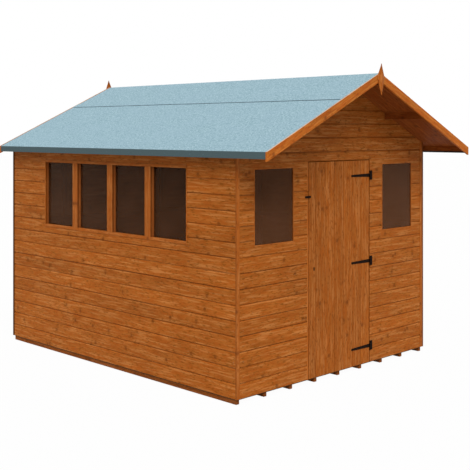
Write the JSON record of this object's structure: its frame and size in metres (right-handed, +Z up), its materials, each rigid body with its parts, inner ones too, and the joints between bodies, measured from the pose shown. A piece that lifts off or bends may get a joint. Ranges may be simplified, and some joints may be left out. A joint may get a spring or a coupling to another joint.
{
  "type": "apex garden shed",
  "caption": "Timber apex garden shed with a hinged door, side and front windows, a felted roof with a front overhang, and a boarded floor.",
  "frame": {"origin": "on the ground at the middle of the floor's width and depth, on the underside of the middle bearer", "axes": "+Z up; the door faces -Y and the row of four windows faces -X; +Y runs from front to back"},
  "size_m": [2.68, 3.636, 2.597],
  "materials": {
    "cladding_wood": "planed softwood shiplap, dip-stained orange brown",
    "door_wood": "planed softwood matchboard, dip-stained orange brown",
    "trim_wood": "planed softwood, dip-stained orange brown",
    "frame_wood": "sawn softwood, dip-stained",
    "roof_wood": "planed softwood boards and sawn purlins, dip-stained",
    "floor_wood": "planed softwood boards",
    "bearer_wood": "sawn pressure-treated softwood",
    "window_glass": "clear float glass",
    "roof_felt": "bitumen roofing felt with pale blue-green mineral grit",
    "black_ironmongery": "black japanned steel"
  },
  "bodies": {
    "shell": {"bearers": "bearer_wood", "floor_boards": "floor_wood", "left_wall_lower": "cladding_wood", "left_wall_piers": "cladding_wood", "left_wall_upper": "cladding_wood", "left_window_posts": "trim_wood", "left_window_panes": "window_glass", "front_wall_lower": "cladding_wood", "front_wall_piers": "cladding_wood", "front_gable": "cladding_wood", "front_window_panes": "window_glass", "right_wall": "cladding_wood", "back_wall": "cladding_wood", "front_corner_strips": "trim_wood", "rear_corner_strips": "trim_wood", "left_wall_rails": "frame_wood", "left_wall_studs": "frame_wood", "right_wall_rails": "frame_wood", "right_wall_studs": "frame_wood", "back_wall_rails": "frame_wood", "back_wall_studs": "frame_wood", "front_wall_rails": "frame_wood", "front_wall_studs": "frame_wood", "gable_posts": "frame_wood", "door_stops": "frame_wood", "ridge_beam": "roof_wood", "purlins": "roof_wood", "eaves_rails": "roof_wood", "roof_boards_left": "roof_wood", "roof_boards_right": "roof_wood", "felt_left": "roof_felt", "felt_right": "roof_felt", "felt_ridge": "roof_felt", "bargeboards_left": "trim_wood", "bargeboards_right": "trim_wood", "finials": "trim_wood", "hinge_plates": "black_ironmongery", "button_screw": "black_ironmongery"},
    "door": {"door_boards": "door_wood", "door_ledges": "frame_wood", "door_braces": "frame_wood", "hinge_straps": "black_ironmongery", "keyhole_plates": "black_ironmongery"},
    "turn_button": {"turn_button": "black_ironmongery"}
  },
  "joints": [
    {"name": "door_hinge", "type": "hinge", "parent": "shell", "child": "door", "pos_m": [0.409, -1.561, 0.925], "axis": [0, 0, 1], "range_deg": [0, 160]},
    {"name": "button_pivot", "type": "hinge", "parent": "shell", "child": "turn_button", "pos_m": [-0.418, -1.562, 1.519], "axis": [0, -1, 0], "range_deg": [0, 90]}
  ]
}
